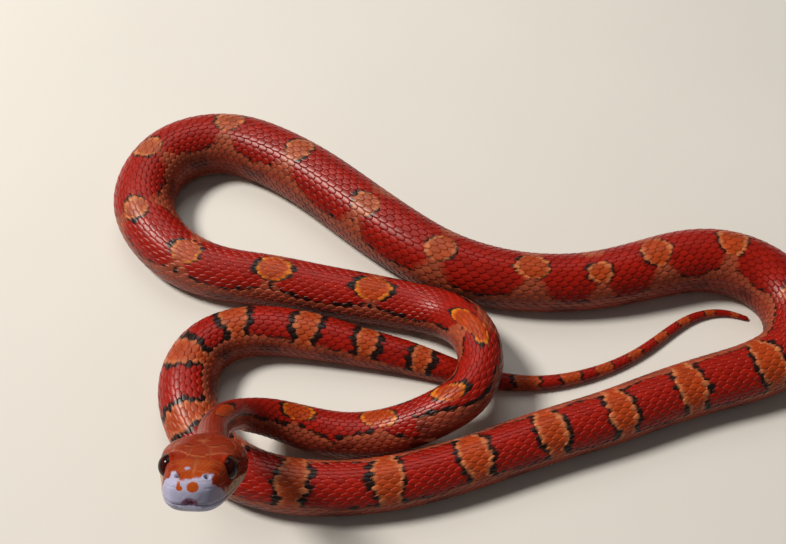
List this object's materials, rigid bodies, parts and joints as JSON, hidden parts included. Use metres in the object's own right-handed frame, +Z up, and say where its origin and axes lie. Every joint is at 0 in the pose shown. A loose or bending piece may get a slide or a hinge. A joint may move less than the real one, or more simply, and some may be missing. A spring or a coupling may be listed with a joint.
{
  "type": "corn snake",
  "caption": "Yearling corn snake lying in open loops, one loop over the tail, with the head raised, as a still life-size model.",
  "frame": {"origin": "on the floor, under the middle of the loops' bounding box", "axes": "+Z up; -Y is the way the raised head faces; +X runs along the loops' longest extent, towards the right-hand loop"},
  "size_m": [0.1538, 0.1165, 0.0502],
  "materials": {
    "skin": "satin, smooth dry scales",
    "eye": "polished"
  },
  "bodies": {
    "root": {"head": "skin", "eye_left": "eye", "eye_right": "eye", "neck_rise": "skin", "neck": "skin", "first_bend_lower": "skin", "first_bend_upper": "skin", "forebody": "skin", "left_bend_front": "skin", "left_bend_middle": "skin", "left_bend_back": "skin", "midbody_left": "skin", "midbody": "skin", "midbody_right": "skin", "right_bend_back": "skin", "right_bend_front": "skin", "hindbody_right": "skin", "hindbody": "skin", "hindbody_left": "skin", "turn_under_head": "skin", "lower_bend": "skin", "vent_length": "skin", "tail_base": "skin", "tail": "skin", "tail_tip": "skin"}
  },
  "joints": []
}
